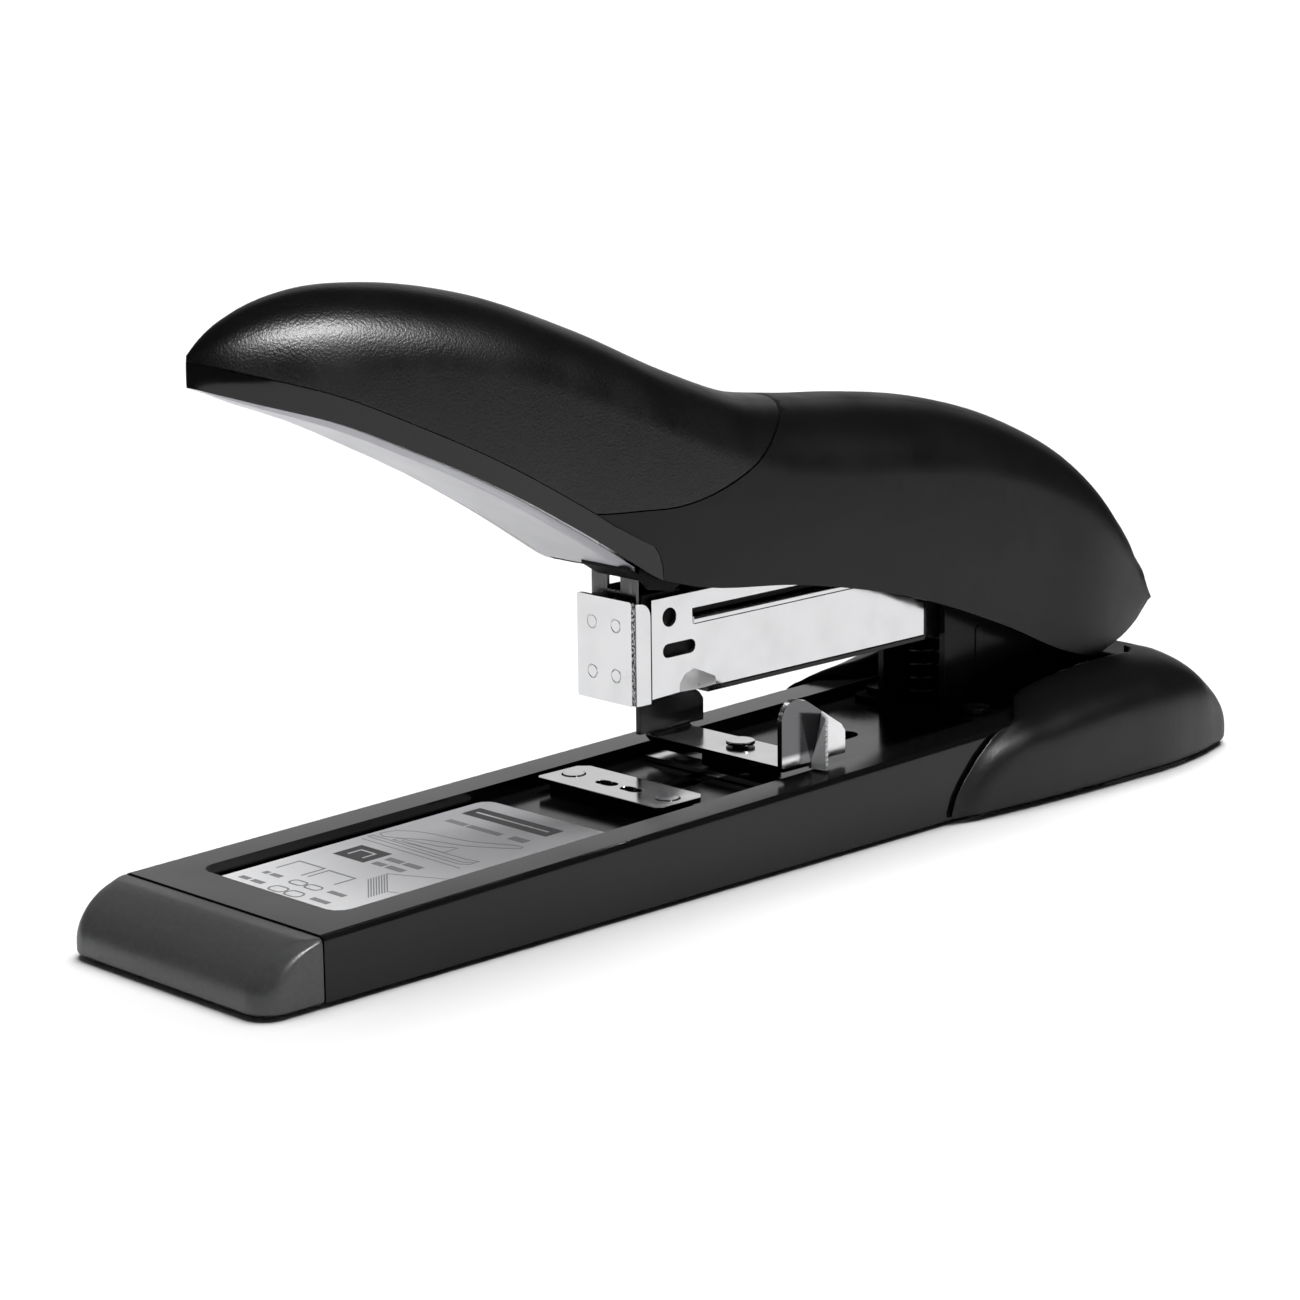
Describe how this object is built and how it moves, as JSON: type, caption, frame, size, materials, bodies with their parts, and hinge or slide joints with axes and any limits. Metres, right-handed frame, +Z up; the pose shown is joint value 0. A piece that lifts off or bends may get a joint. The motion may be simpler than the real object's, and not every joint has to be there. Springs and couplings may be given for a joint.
{
  "type": "desktop stapler",
  "caption": "Heavy-duty desktop stapler: long steel base with anvil, rear-hinged chromed magazine with a sliding driver, curved press handle and sliding paper stop.",
  "frame": {"origin": "on the ground, under the middle of the stapler's overall length and width", "axes": "+Y runs from the front cap to the rear cover, +Z is up, +X is to the right of someone facing the front, in the direction of the pivot pin"},
  "size_m": [0.071, 0.285, 0.1256],
  "materials": {
    "black_paint": "glossy black enamel on pressed steel",
    "cap_plastic": "dark grey moulded plastic, satin",
    "cover_plastic": "black moulded plastic, fine texture",
    "shell_plastic": "black moulded plastic, fine texture",
    "grip_rubber": "soft black grip with a fine sparkle texture",
    "gloss_trim": "glossy black",
    "light_panel": "light grey, smooth",
    "label": "pale grey foil label with pictograms and no text",
    "chrome": "bright plated steel, lightly worn",
    "blade_steel": "dark hardened steel",
    "spring_steel": "plain zinc-plated steel",
    "black_plastic": "plain black moulded plastic",
    "pad_rubber": "matte black"
  },
  "bodies": {
    "base": {"base_rail": "black_paint", "front_cap": "cap_plastic", "rear_cover": "cover_plastic", "label_plate": "label", "anvil_plate": "chrome", "anvil_rivet_left": "chrome", "anvil_rivet_right": "chrome", "pivot_bracket": "black_paint", "bracket_rivet_front_left": "spring_steel", "bracket_rivet_front_right": "spring_steel", "bracket_rivet_rear_left": "spring_steel", "bracket_rivet_rear_right": "spring_steel", "pivot_pin": "spring_steel", "pivot_clip_left": "spring_steel", "pivot_clip_right": "spring_steel", "front_pad_left": "pad_rubber", "front_pad_right": "pad_rubber", "rear_pad_left": "pad_rubber", "rear_pad_right": "pad_rubber", "magazine_lift_spring": "spring_steel"},
    "paper_stop": {"stop_arm": "chrome", "stop_rivet": "chrome", "stop_slide_block": "black_plastic", "stop_clamp_plate": "spring_steel", "stop_guide_bar": "chrome"},
    "magazine": {"magazine_channel": "chrome", "magazine_frame": "black_paint", "head_wrap": "chrome", "front_plate": "chrome", "driver_guide": "black_plastic", "staple_core": "blade_steel", "rear_block": "black_plastic", "pusher_rod": "spring_steel", "magazine_top_liner": "black_plastic", "pusher_spring": "spring_steel", "handle_return_spring": "spring_steel"},
    "pusher": {"staple_pusher": "black_plastic"},
    "driver": {"driver_blade": "blade_steel", "driver_head": "spring_steel"},
    "handle": {"handle_shell": "shell_plastic", "handle_grip": "grip_rubber", "handle_trim": "gloss_trim", "handle_underside": "light_panel", "handle_lever": "spring_steel", "drive_pin": "spring_steel", "mount_pin_front": "spring_steel", "mount_pin_rear": "spring_steel"}
  },
  "joints": [
    {"name": "magazine_pivot", "type": "hinge", "parent": "base", "child": "magazine", "pos_m": [0, 0.087, 0.037], "axis": [1, 0, 0], "range_deg": [0, 8.5], "stiffness_Nm_per_rad": 1.6, "springref_deg": -28.65, "deforming": ["magazine_lift_spring"]},
    {"name": "handle_pivot", "type": "hinge", "parent": "magazine", "child": "handle", "pos_m": [0, 0.087, 0.037], "axis": [1, 0, 0], "range_deg": [0, 6.4], "stiffness_Nm_per_rad": 1.6, "springref_deg": -28.65, "deforming": ["handle_return_spring"]},
    {"name": "driver_slide", "type": "slide", "parent": "magazine", "child": "driver", "axis": [0, 0, -1], "range_m": [0, 0.013]},
    {"name": "pusher_slide", "type": "slide", "parent": "magazine", "child": "pusher", "axis": [0, 1, 0], "range_m": [0, 0.044], "stiffness_N_per_m": 40, "springref_m": -0.04, "deforming": ["pusher_spring"]},
    {"name": "stop_slide", "type": "slide", "parent": "base", "child": "paper_stop", "axis": [0, 0.9997, 0.0235], "range_m": [-0.018, 0.028]}
  ],
  "couplings": [
    {"joint": "driver_slide", "follows": "handle_pivot", "m_per_rad": 0.1155}
  ]
}
